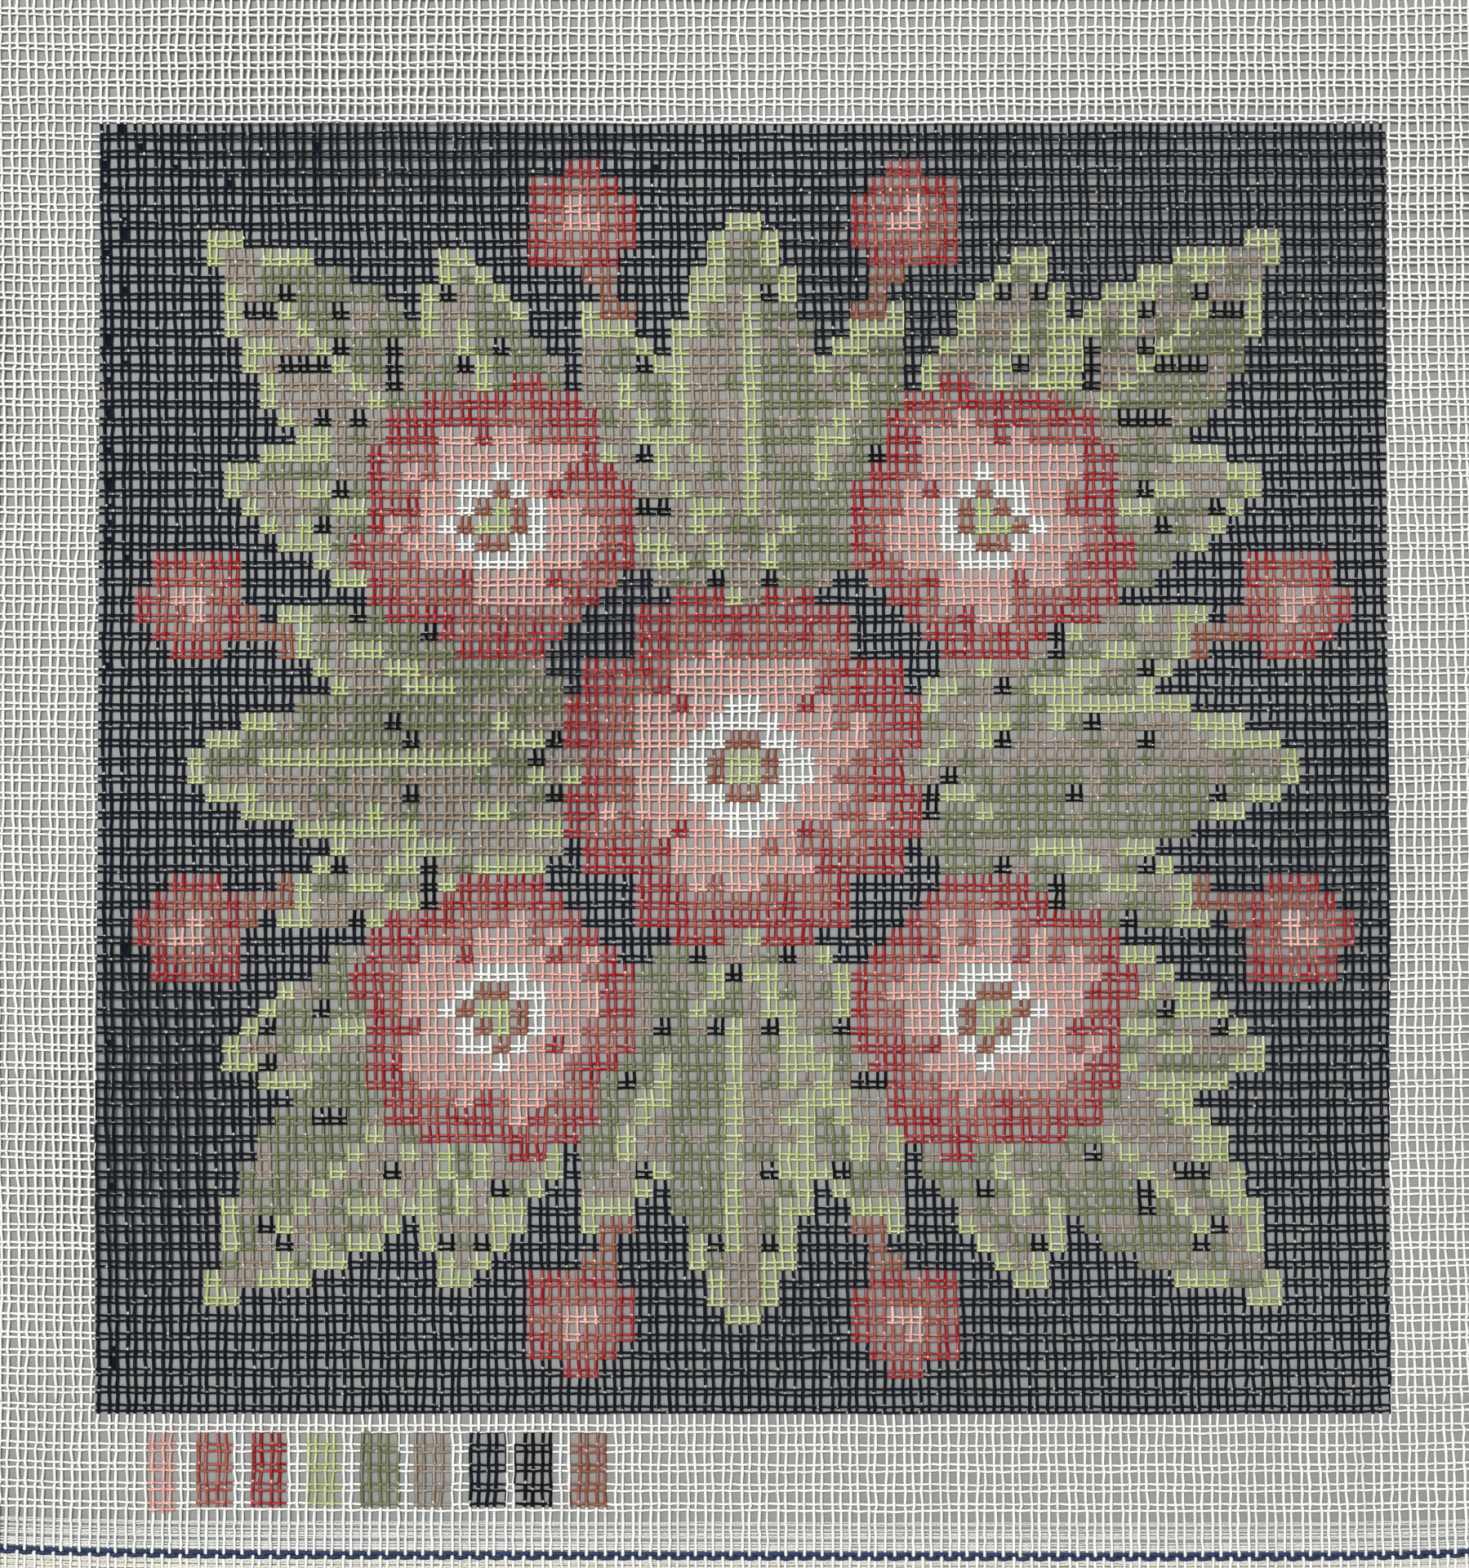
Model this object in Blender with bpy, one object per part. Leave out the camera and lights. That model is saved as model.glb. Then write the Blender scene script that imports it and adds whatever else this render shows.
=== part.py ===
"""A needlepoint canvas panel lying on a table, in metres, +Z up.

It is one length of double-thread cotton canvas with a printed square, three raw cut edges
and a woven selvedge with a blue yarn along the bottom. The origin is on the table, under the
middle of the sheet. +Y runs up the picture, and +X to its right.
"""

from collections import namedtuple
import math

import bmesh
import bpy

# Driving sizes
PRINT_SIDE = 0.400
PAIRS_IN_PRINT = 72
PAIR_PITCH = PRINT_SIDE / PAIRS_IN_PRINT
SIDE_MARGIN = 9 * PAIR_PITCH
TOP_MARGIN = 10 * PAIR_PITCH
BOTTOM_MARGIN = 6 * PAIR_PITCH
THREAD = 0.00074

# The selvedge, below the last plain pair of threads
BAND_DEPTH = 0.0090
YARN_BREADTH = 0.0028
YARN_RISE = 0.0005
OUTER_BAND_DEPTH = 0.0064

# The sheet between its edges, with v running up from the selvedge side of the print
HALF_WIDTH = PRINT_SIDE / 2 + SIDE_MARGIN
PRINT_EDGE = PRINT_SIDE / 2
TOP = PRINT_EDGE + TOP_MARGIN
PLAIN_END = -PRINT_EDGE - BOTTOM_MARGIN
YARN_TOP = PLAIN_END - BAND_DEPTH
YARN_FOOT = YARN_TOP - YARN_BREADTH
BOTTOM = YARN_FOOT - OUTER_BAND_DEPTH
SHEET_LENGTH = TOP - BOTTOM
MID_V = (TOP + BOTTOM) / 2

# Two crossing threads, each flattened a little where they press on each other
CLOTH = 1.9 * THREAD

# How the grain of the cloth has pulled out of square
LEAN = math.tan(math.radians(0.7))
SPREAD_AT_FOOT = 0.004
SWAY = 0.0006
SWAY_LENGTH = 0.26
BOW_AT_FOOT = 0.0034
BOW_AT_TOP = 0.0012
CUT_WANDER = 0.0007

# The mesh: squares of about this size between the edges that matter
CELL = 0.0135
YARN_SHOULDER = 0.22

# Low swells where the cloth stands off the table: the centre, the half length and the half
# breadth of the swell, how far its length is turned from +X, and its rise
Swell = namedtuple("Swell", "x y long broad turn rise")
SWELLS = (
    Swell(0.120, 0.160, 0.150, 0.070, 8, 0.0021),
    Swell(-0.110, 0.205, 0.110, 0.042, -6, 0.0016),
    Swell(-0.060, 0.020, 0.130, 0.060, 24, 0.0015),
    Swell(0.170, -0.060, 0.110, 0.055, 70, 0.0017),
    Swell(-0.185, -0.110, 0.095, 0.045, 84, 0.0016),
    Swell(0.040, -0.170, 0.140, 0.045, -5, 0.0013),
    Swell(-0.265, 0.120, 0.080, 0.048, 86, 0.0031),
    Swell(0.266, 0.060, 0.085, 0.045, -88, 0.0027),
    Swell(0.020, 0.268, 0.110, 0.040, 3, 0.0024),
)

CANVAS_WHITE = (0.89, 0.89, 0.84, 1.0)
PRINT_NAVY = (0.018, 0.022, 0.034, 1.0)
YARN_BLUE = (0.022, 0.048, 0.165, 1.0)


def clear_scene():
    for old in list(bpy.data.objects):
        bpy.data.objects.remove(old, do_unlink=True)


def cotton(name, colour):
    """A dry, matt cotton finish."""
    material = bpy.data.materials.new(name)
    material.use_nodes = True
    shader = material.node_tree.nodes["Principled BSDF"]
    shader.inputs["Base Color"].default_value = colour
    shader.inputs["Roughness"].default_value = 0.85
    shader.inputs["Metallic"].default_value = 0.0
    return material


def evenly(start, end, step):
    """Places from start up to, and not counting, end, about one step apart."""
    count = max(1, round((end - start) / step))
    return [start + (end - start) * k / count for k in range(count)]


def column_places():
    """Where the mesh's columns stand, with one along each side of the print."""
    places = evenly(-HALF_WIDTH, -PRINT_EDGE, CELL)
    places += evenly(-PRINT_EDGE, PRINT_EDGE, CELL)
    places += evenly(PRINT_EDGE, HALF_WIDTH, CELL)
    return places + [HALF_WIDTH]


def row_places():
    """Where the mesh's rows lie, with rows on the shoulders of the selvedge's blue yarn."""
    shoulder = YARN_SHOULDER * YARN_BREADTH
    places = [BOTTOM, YARN_FOOT, YARN_FOOT + shoulder, YARN_TOP - shoulder, YARN_TOP]
    places += evenly(PLAIN_END, -PRINT_EDGE, CELL)
    places += evenly(-PRINT_EDGE, PRINT_EDGE, CELL)
    places += evenly(PRINT_EDGE, TOP, CELL)
    return places + [TOP]


def grain(u, v):
    """Where a point of the square cloth lies once the weave has leaned, swayed and bowed."""
    across = u / HALF_WIDTH
    height = (v - BOTTOM) / SHEET_LENGTH
    sway = SWAY * math.sin(math.tau * (v / SWAY_LENGTH + 0.2 * across))
    x = u * (1 + 2 * SPREAD_AT_FOOT * (0.5 - height)) - LEAN * (v - MID_V) + sway
    bow = BOW_AT_FOOT + (BOW_AT_TOP - BOW_AT_FOOT) * height
    y = v + bow * across * across
    return x, y


def cut_wander(along):
    """How far the scissors strayed at this place along a raw edge."""
    return CUT_WANDER * (math.sin(along * 31) + 0.6 * math.sin(along * 74 + 1.3))


def lift(x, y):
    """How high the underside stands off the table."""
    rise = 0.0
    for swell in SWELLS:
        turn = math.radians(swell.turn)
        dx, dy = x - swell.x, y - swell.y
        along = (dx * math.cos(turn) + dy * math.sin(turn)) / swell.long
        aside = (dy * math.cos(turn) - dx * math.sin(turn)) / swell.broad
        inside = max(0.0, 1 - along * along - aside * aside)
        rise += swell.rise * inside * inside
    return rise


def thickness(v):
    """The cloth's thickness, with the blue yarn standing proud as a low ridge."""
    on_yarn = YARN_FOOT < v < YARN_TOP
    return CLOTH + (YARN_RISE if on_yarn else 0.0)


def cloth_place(column, row, columns, rows):
    """The plan position of one corner of the mesh."""
    u, v = columns[column], rows[row]
    if column in (0, len(columns) - 1):
        u += cut_wander(v)
    if row == len(rows) - 1:
        v += cut_wander(u + SHEET_LENGTH)
    return grain(u, v)


def lay_underside(columns, rows):
    """A flat grid whose corners are moved to the cloth's own places."""
    mesh = bmesh.new()
    bmesh.ops.create_grid(
        mesh, x_segments=len(columns) - 1, y_segments=len(rows) - 1, size=1.0
    )
    row_of = mesh.verts.layers.int.new("row")
    for corner in mesh.verts:
        column = round((corner.co.x + 1) / 2 * (len(columns) - 1))
        row = round((corner.co.y + 1) / 2 * (len(rows) - 1))
        corner[row_of] = row
        corner.co.x, corner.co.y = cloth_place(column, row, columns, rows)
    return mesh, row_of


def centre_on_origin(mesh):
    """Puts the middle of the sheet's outline over the origin."""
    xs = [corner.co.x for corner in mesh.verts]
    ys = [corner.co.y for corner in mesh.verts]
    middle = ((min(xs) + max(xs)) / 2, (min(ys) + max(ys)) / 2, 0)
    bmesh.ops.translate(mesh, verts=mesh.verts, vec=[-side for side in middle])


def raise_top(mesh, row_of, rows):
    """Lifts the underside over its swells and thickens it into a closed sheet."""
    for corner in mesh.verts:
        corner.co.z = lift(corner.co.x, corner.co.y)
    grown = bmesh.ops.extrude_face_region(mesh, geom=mesh.faces[:], use_keep_orig=True)
    for piece in grown["geom"]:
        if isinstance(piece, bmesh.types.BMVert):
            piece.co.z += thickness(rows[piece[row_of]])
    bmesh.ops.recalc_face_normals(mesh, faces=mesh.faces)


def paint_faces(mesh, row_of, rows):
    """Gives the printed square and the blue yarn materials of their own."""
    for face in mesh.faces:
        middle = face.calc_center_median()
        v = sum(rows[corner[row_of]] for corner in face.verts) / len(face.verts)
        if YARN_FOOT < v < YARN_TOP:
            face.material_index = 2
        elif abs(middle.x) < PRINT_EDGE and abs(v) < PRINT_EDGE and face.normal.z > 0.5:
            face.material_index = 1
        else:
            face.material_index = 0


def make_canvas():
    columns, rows = column_places(), row_places()
    mesh, row_of = lay_underside(columns, rows)
    centre_on_origin(mesh)
    raise_top(mesh, row_of, rows)
    paint_faces(mesh, row_of, rows)
    data = bpy.data.meshes.new("canvas")
    mesh.to_mesh(data)
    mesh.free()
    data.materials.append(cotton("canvas_cotton", CANVAS_WHITE))
    data.materials.append(cotton("printed_ground", PRINT_NAVY))
    data.materials.append(cotton("selvedge_yarn", YARN_BLUE))
    data.shade_smooth()
    data.set_sharp_from_angle(angle=math.radians(40))
    return bpy.data.objects.new("canvas", data)


def main():
    clear_scene()
    panel = bpy.data.collections.new("needlepoint_canvas_panel")
    bpy.context.scene.collection.children.link(panel)
    panel.objects.link(make_canvas())


main()
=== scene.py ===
from collections import namedtuple
import math

import bmesh
import bpy
from mathutils import Matrix, Vector
import numpy as np


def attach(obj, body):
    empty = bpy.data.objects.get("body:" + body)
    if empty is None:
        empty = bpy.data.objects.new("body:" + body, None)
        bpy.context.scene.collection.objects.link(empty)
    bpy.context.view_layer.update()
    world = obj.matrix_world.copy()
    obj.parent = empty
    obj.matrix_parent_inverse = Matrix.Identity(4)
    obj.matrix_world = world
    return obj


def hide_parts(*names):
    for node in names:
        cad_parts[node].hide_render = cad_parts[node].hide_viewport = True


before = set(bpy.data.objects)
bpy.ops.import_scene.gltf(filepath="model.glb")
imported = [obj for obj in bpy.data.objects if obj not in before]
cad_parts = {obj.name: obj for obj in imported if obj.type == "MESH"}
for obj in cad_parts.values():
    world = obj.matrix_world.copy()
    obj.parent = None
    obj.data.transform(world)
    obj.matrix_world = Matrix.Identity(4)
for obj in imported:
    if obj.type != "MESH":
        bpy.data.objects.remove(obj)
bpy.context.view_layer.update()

# A needlepoint canvas panel, woven thread by thread and lying on a table. Metres, +Z up.
# u and v are places on the square cloth, x and y are places on the table.

# Driving sizes of the cloth, the same as the solid's
PRINT_SIDE = 0.400
PAIRS_IN_PRINT = 72
PAIR_PITCH = PRINT_SIDE / PAIRS_IN_PRINT
SIDE_PAIRS = 9
TOP_PAIRS = 10
FOOT_PAIRS = 5
FOOT_MARGIN = 6 * PAIR_PITCH
THREAD = 0.00074
SELVEDGE_DEPTH = 0.0182

HALF_WIDTH = PRINT_SIDE / 2 + SIDE_PAIRS * PAIR_PITCH
PRINT_EDGE = PRINT_SIDE / 2
TOP = PRINT_EDGE + TOP_PAIRS * PAIR_PITCH
PLAIN_END = -PRINT_EDGE - FOOT_MARGIN
BOTTOM = PLAIN_END - SELVEDGE_DEPTH
SHEET_LENGTH = TOP - BOTTOM
MID_V = (TOP + BOTTOM) / 2

# How the grain of the cloth has pulled out of square. The rows near the foot bow most, and
# only near their ends
LEAN = math.tan(math.radians(0.7))
SPREAD_AT_FOOT = 0.004
SWAY = 0.0006
SWAY_LENGTH = 0.26
BOW_AT_FOOT = 0.0034
BOW_AT_TOP = 0.0012
BOW_POWER = 6
FOOT_FADE = 16
FOOT_TILT = 0.0007
CUT_WANDER = 0.0007
OUTLINE_SAMPLES = 60

# Low swells where the cloth stands off the table, as on the solid
Swell = namedtuple("Swell", "x y long broad turn rise")
SWELLS = (
    Swell(0.120, 0.160, 0.150, 0.070, 8, 0.0021),
    Swell(-0.110, 0.205, 0.110, 0.042, -6, 0.0016),
    Swell(-0.060, 0.020, 0.130, 0.060, 24, 0.0015),
    Swell(0.170, -0.060, 0.110, 0.055, 70, 0.0017),
    Swell(-0.185, -0.110, 0.095, 0.045, 84, 0.0016),
    Swell(0.040, -0.170, 0.140, 0.045, -5, 0.0013),
    Swell(-0.265, 0.120, 0.080, 0.048, 86, 0.0031),
    Swell(0.266, 0.060, 0.085, 0.045, -88, 0.0027),
    Swell(0.020, 0.268, 0.110, 0.040, 3, 0.0024),
)

# The weave: pairs of threads, plain over and under. The level pairs under the print lie
# further apart than the rest
UPRIGHTS = 2 * (PAIRS_IN_PRINT + 2 * SIDE_PAIRS)
LEVELS = 2 * (PAIRS_IN_PRINT + TOP_PAIRS + FOOT_PAIRS)
UPRIGHT_GAP = 0.427 * PAIR_PITCH
UPRIGHT_SHIFT = 0.0015
LEVEL_GAP = 0.315 * PAIR_PITCH
FOOT_GAP = 0.00200
FOOT_PITCH = 0.00603

# How far a thread's middle rises or dips at a crossing, how high the middle of the cloth
# stands over its underside, and half the length of a thread's flat top
HALF_THREAD = THREAD / 2
CREST = 0.00033
MID_HEIGHT = HALF_THREAD + CREST
HALF_PLATEAU = 0.00042

# The threads that run up the picture are flatter and less even than those across it: half
# widths and heights, how far a pair and a thread sway, and how far a thread and one of its
# crossings lie off their places
Habit = namedtuple("Habit", "half_width half_height pair own off_place jog")
UPRIGHT_HABIT = Habit(0.00052, 0.00035, 0.00014, 0.00006, 0.00006, 0.00011)
LEVEL_HABIT = Habit(0.00040, 0.00036, 0.00010, 0.00003, 0.00003, 0.00004)

# The lengths of the slow waves along a thread, and how much its half width varies
WAVES = (0.110, 0.067, 0.041, 0.026)
PLUMPNESS = 0.07

# Raw ends past the last crossing: their lengths, how far they turn aside, how their tips
# stand off the table, and where the elbow of the droop is
RAW_END = 0.0022
RAW_END_SPREAD = 0.0009
RAW_END_LEAST = 0.0008
TIP_ASIDE = 0.00035
TIP_RISE = 0.00015
ELBOW_ALONG = 0.45
ELBOW_ASIDE = 0.3
ELBOW_HEIGHT = -0.6 * CREST

# Seeds of the random draws
CLOTH_SEED = 41
YARN_SEED = 7
FILM_SEED = 23
FLOWER_SEED = 9

# Inks, as they look on the cloth (sRGB)
INKS = {
    "white": (0.945, 0.945, 0.925),
    "pale_pink": (0.87, 0.62, 0.57),
    "salmon": (0.64, 0.28, 0.225),
    "dark_red": (0.61, 0.05, 0.075),
    "lime": (0.71, 0.75, 0.46),
    "olive": (0.43, 0.445, 0.28),
    "taupe": (0.57, 0.50, 0.42),
    "navy": (0.06, 0.08, 0.125),
    "black": (0.055, 0.045, 0.045),
    "rust": (0.57, 0.285, 0.18),
}
INK_NAMES = list(INKS)
WHITE_INK = INK_NAMES.index("white")
NAVY_INK = INK_NAMES.index("navy")
RIBBON_WHITE = (0.84, 0.845, 0.83)
RIBBON_CREAM = (0.86, 0.85, 0.81)

# How the ink took: the share of it that comes through to the underside, the share that
# missed a side of a thread, and how the shade varies from thread to thread and along one
BLEED_THROUGH = 0.3
MISSED = 0.12
MISSED_SPREAD = 0.14
MISSED_MOST = 0.5
THREAD_SHADE = 0.03
SHADE_SPREAD = 0.045
SHADE_STEP = 6

# Nicks where a crossing thread kept the ink off: the share of crossings that have one, and
# how much the distance from that thread is stretched, so that the nicks differ in length
UPRIGHT_NICKS = 0.36
LEVEL_NICKS = 0.16
NICK_STRETCH = (0.6, 1.5)

# The printed colour key under the print: where each block starts, from the print's left
# edge, its width, and how much further down than the rest it reaches
Block = namedtuple("Block", "ink left width sag")
COLOUR_KEY = (
    Block("pale_pink", 0.0161, 0.0091, 0.0018),
    Block("salmon", 0.0312, 0.0116, 0.0),
    Block("dark_red", 0.0483, 0.0111, 0.0),
    Block("lime", 0.0656, 0.0108, 0.0),
    Block("olive", 0.0820, 0.0118, 0.0),
    Block("taupe", 0.0983, 0.0118, 0.0),
    Block("navy", 0.1156, 0.0113, 0.0),
    Block("black", 0.1295, 0.0118, 0.0),
    Block("rust", 0.1466, 0.0113, 0.0),
)
KEY_TOP = -PRINT_EDGE - 0.0056
KEY_FOOT = -PRINT_EDGE - 0.0287

# The selvedge: ribbons of fine strands, by their depth below its top
SELVEDGE_TOP = PLAIN_END + 0.0010
Ribbon = namedtuple("Ribbon", "top foot strands")
RIBBONS = (
    Ribbon(0.0012, 0.0021, 3),
    Ribbon(0.0033, 0.0037, 2),
    Ribbon(0.0045, 0.0047, 2),
    Ribbon(0.0053, 0.0060, 3),
    Ribbon(0.0073, 0.0076, 2),
    Ribbon(0.0082, 0.0084, 2),
    Ribbon(0.0090, 0.0096, 3),
    Ribbon(0.0130, 0.0141, 4),
    Ribbon(0.0148, 0.0159, 4),
    Ribbon(0.0166, 0.0177, 4),
)
STRAND_HALF_WIDTH = 0.00021
STRAND_HALF_HEIGHT = 0.00026
STRAND_HEIGHT = -0.00020
STRAND_SPREAD = 0.00006
STRAND_CUT_SPREAD = 0.0004
STRAND_WAVE = 0.00005
STRAND_JOG = 0.00003
STRAND_RISE = 0.00008
STRAND_RISE_JOG = 0.00002

# The two blue yarns of the selvedge
YARN_DEPTHS = (0.01078, 0.01200)
YARN_STEPS = (-0.0008, -0.0004, 0.0, 0.0004, 0.0008)
YARN_HALF_WIDTH = 0.00060
YARN_HALF_HEIGHT = 0.00040
YARN_CREST = 0.00030
YARN_STEEPNESS = 1.25
YARN_HEIGHT = 0.00002
YARN_PINCH = 0.22
YARN_TUCK = 0.00003
YARN_WAVE = 0.00004
YARN_CUT_SPREAD = 0.0003
YARN_BLUE = (0.13, 0.20, 0.345)
YARN_SHADE = 0.12
# How dark the painted shade is on the sides where the two blue yarns press together
YARN_CREASE_SHADE = 0.30

# An upright thread in the selvedge: its bends outside and inside the blue yarns, by depth
# and by height over the middle of the cloth, and the loop in which it turns
Bend = namedtuple("Bend", "depth height")
OUTER_BENDS = (Bend(0.0165, 0.00024), Bend(0.0150, 0.00006), Bend(0.0139, 0.00024))
INNER_BENDS = (
    Bend(0.0085, 0.00026),
    Bend(0.0067, 0.00003),
    Bend(0.0047, 0.00026),
    Bend(0.0027, 0.00005),
    Bend(0.0014, 0.00026),
)
OVER_YARN = 0.00050
BEND_LEAN = 0.00010
LOOP_RADIUS = UPRIGHT_GAP / 2
LOOP_INSET = 0.0009
LOOP_TURNS = (-14, 20, 55, 90)

# Films of dried ink between the two uprights of a pair: how much of the way between two
# level threads they fill, and their shape
FILM_SPAN = (0.35, 1.0)
FILM_WIDTHS = (1.0, 0.95, 0.85, 0.5)
FILM_HEIGHT = -0.0001
FILM_HALF_HEIGHT = 0.00007


def linear(colour):
    """An sRGB colour as the linear one that a shader takes."""
    colour = np.asarray(colour, dtype=float)
    return np.where(colour <= 0.04045, colour / 12.92, ((colour + 0.055) / 1.055) ** 2.4)


INK_COLOURS = np.array([linear(INKS[name]) for name in INK_NAMES])


# The lie of the cloth

def grain(u, v):
    """Where a point of the square cloth lies once the weave has leaned, swayed and bowed."""
    across = u / HALF_WIDTH
    height = (v - BOTTOM) / SHEET_LENGTH
    sway = SWAY * np.sin(math.tau * (v / SWAY_LENGTH + 0.2 * across))
    x = u * (1 + 2 * SPREAD_AT_FOOT * (0.5 - height)) - LEAN * (v - MID_V) + sway
    near_foot = (1 - height) ** FOOT_FADE
    bow = BOW_AT_TOP + (BOW_AT_FOOT - BOW_AT_TOP) * near_foot
    y = v + bow * across ** BOW_POWER - FOOT_TILT * across * near_foot
    return x, y


def cut_wander(along):
    """How far the scissors strayed at this place along a raw edge."""
    return CUT_WANDER * (np.sin(along * 31) + 0.6 * np.sin(along * 74 + 1.3))


def outline_middle():
    """The middle of the box round the sheet's outline, which lies over the origin."""
    v = np.linspace(BOTTOM, TOP, OUTLINE_SAMPLES)
    u = np.linspace(-HALF_WIDTH, HALF_WIDTH, OUTLINE_SAMPLES)
    left, _ = grain(-HALF_WIDTH + cut_wander(v), v)
    right, _ = grain(HALF_WIDTH + cut_wander(v), v)
    _, top = grain(u, TOP + cut_wander(u + SHEET_LENGTH))
    _, foot = grain(u, np.full_like(u, BOTTOM))
    return (left.min() + right.max()) / 2, (foot.min() + top.max()) / 2


MIDDLE_X, MIDDLE_Y = outline_middle()


def on_table(u, v):
    """The places on the table, as rows of x and y."""
    x, y = grain(u, v)
    return np.stack([x - MIDDLE_X, y - MIDDLE_Y], axis=-1)


def lift(places):
    """How high the underside stands off the table."""
    x, y = places[..., 0], places[..., 1]
    rise = np.zeros(x.shape)
    for swell in SWELLS:
        turn = math.radians(swell.turn)
        dx, dy = x - swell.x, y - swell.y
        along = (dx * math.cos(turn) + dy * math.sin(turn)) / swell.long
        aside = (dy * math.cos(turn) - dx * math.sin(turn)) / swell.broad
        inside = np.maximum(0.0, 1 - along * along - aside * aside)
        rise += swell.rise * inside * inside
    return rise


# The floral chart, a square of inked cells

def cell_grid():
    """Each cell's place from the middle of the chart, in cells."""
    middles = np.arange(PAIRS_IN_PRINT) - (PAIRS_IN_PRINT - 1) / 2
    return np.meshgrid(middles, middles)


def speckle(share, seed):
    """True on about this share of the chart's cells."""
    return np.random.default_rng(seed).random((PAIRS_IN_PRINT, PAIRS_IN_PRINT)) < share


def paint(chart, where, ink):
    """Puts an ink in these cells of the chart."""
    chart[where] = INK_NAMES.index(ink)


def chart_leaf(chart, root, turn, length, breadth):
    """A leaf with one half in shade, a pale edge and dark veins."""
    x, y = cell_grid()
    angle = math.radians(turn)
    dx, dy = x - root[0], y - root[1]
    along = (dx * math.cos(angle) + dy * math.sin(angle)) / length
    aside = dy * math.cos(angle) - dx * math.sin(angle)
    half = breadth * np.sin(np.pi * np.clip(along, 0, 1) ** 0.75) ** 0.8
    inside = (along > 0) & (along < 1) & (abs(aside) < half)
    rim = inside & (abs(aside) > half - 1.0)
    paint(chart, inside, "taupe")
    paint(chart, inside & ((aside < -0.4) ^ speckle(share=0.18, seed=3)), "olive")
    paint(chart, inside & (aside > 0.45 * half) & speckle(share=0.45, seed=11), "lime")
    paint(chart, rim & (aside > 0) & (along > 0.3), "lime")
    paint(chart, rim & (aside < 0) & (along > 0.7), "lime")
    rib = np.floor(along * length - 0.7 * abs(aside)) % 4 == 1
    vein = inside & ~rim & rib & (abs(aside) < 0.62 * half) & (abs(aside) > 0.6)
    paint(chart, vein & speckle(share=0.5, seed=5), "black")
    paint(chart, inside & (abs(aside) < 0.5) & (along > 0.1) & (along < 0.75), "lime")


def chart_flower(chart, middle, radius, petals, turn):
    """An open flower, dark at its rim and clefts, paling to white round its heart."""
    x, y = cell_grid()
    dx, dy = x - middle[0], y - middle[1]
    far = np.hypot(dx, dy)
    petal = petals * (np.arctan2(dy, dx) - math.radians(turn)) / 2
    edge = radius * (0.80 + 0.20 * abs(np.cos(petal)) ** 0.6)
    inside = far < edge
    shade = far / edge + np.random.default_rng(FLOWER_SEED).normal(0, 0.07, far.shape)
    paint(chart, inside, "dark_red")
    paint(chart, inside & (shade < 0.82), "salmon")
    paint(chart, inside & (shade < 0.66), "pale_pink")
    paint(chart, far < 0.36 * edge, "white")
    paint(chart, inside & (abs(np.cos(petal)) < 0.22) & (far > 0.55 * edge), "dark_red")
    paint(chart, far < 0.14 * radius + 0.6, "rust")
    paint(chart, far < 0.8, "lime")


def chart_bud(chart, root, middle):
    """A small round bud with a pale heart, on a thin stem from its root."""
    x, y = cell_grid()
    length = math.dist(root, middle)
    way = ((middle[0] - root[0]) / length, (middle[1] - root[1]) / length)
    along = (x - root[0]) * way[0] + (y - root[1]) * way[1]
    aside = (y - root[1]) * way[0] - (x - root[0]) * way[1]
    paint(chart, (along > 0) & (along < length) & (abs(aside) < 0.7), "rust")
    far = np.hypot(x - middle[0], y - middle[1])
    paint(chart, far < 3.1, "dark_red")
    paint(chart, far < 2.2, "salmon")
    paint(chart, far < 1.0, "pale_pink")


def spot(far, turn):
    """A place this far from the chart's middle, in this direction."""
    return far * math.cos(math.radians(turn)), far * math.sin(math.radians(turn))


def floral_chart():
    """A flower among leaves, with a smaller flower in each quarter."""
    chart = np.full((PAIRS_IN_PRINT, PAIRS_IN_PRINT), NAVY_INK)
    for base in (0, 90, 180, 270):
        chart_bud(chart, spot(16, base + 8), spot(32, base + 17))
        chart_bud(chart, spot(16, base - 8), spot(32, base - 17))
        chart_leaf(chart, spot(18, base + 45), base + 12, 17, 4.6)
        chart_leaf(chart, spot(18, base + 45), base + 78, 17, 4.6)
        chart_leaf(chart, spot(9, base), base + 28, 19, 4.8)
        chart_leaf(chart, spot(9, base), base - 28, 19, 4.8)
        chart_leaf(chart, spot(12, base), base, 20, 4.4)
        chart_leaf(chart, spot(23, base + 45), base + 45, 19, 4.8)
    for base in (0, 90, 180, 270):
        chart_flower(chart, spot(19.5, base + 45), 8.2, 5, base + 45)
    chart_flower(chart, (0, 0), 10.5, 8, 22.5)
    return chart


CHART = floral_chart()


def ink_at(x, y):
    """The number of the ink printed at each place on the table."""
    column = np.floor((x + PRINT_EDGE) / PAIR_PITCH).astype(int)
    row = np.floor((y + MIDDLE_Y + PRINT_EDGE) / PAIR_PITCH).astype(int)
    last = PAIRS_IN_PRINT - 1
    printed = (column >= 0) & (column <= last) & (row >= 0) & (row <= last)
    ink = np.where(printed, CHART[np.clip(row, 0, last), np.clip(column, 0, last)], WHITE_INK)
    for block in COLOUR_KEY:
        left = block.left - PRINT_EDGE
        in_rows = (y + MIDDLE_Y > KEY_FOOT - block.sag) & (y + MIDDLE_Y < KEY_TOP)
        in_block = in_rows & (x > left) & (x < left + block.width)
        ink = np.where(in_block, INK_NAMES.index(block.ink), ink)
    return ink


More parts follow.
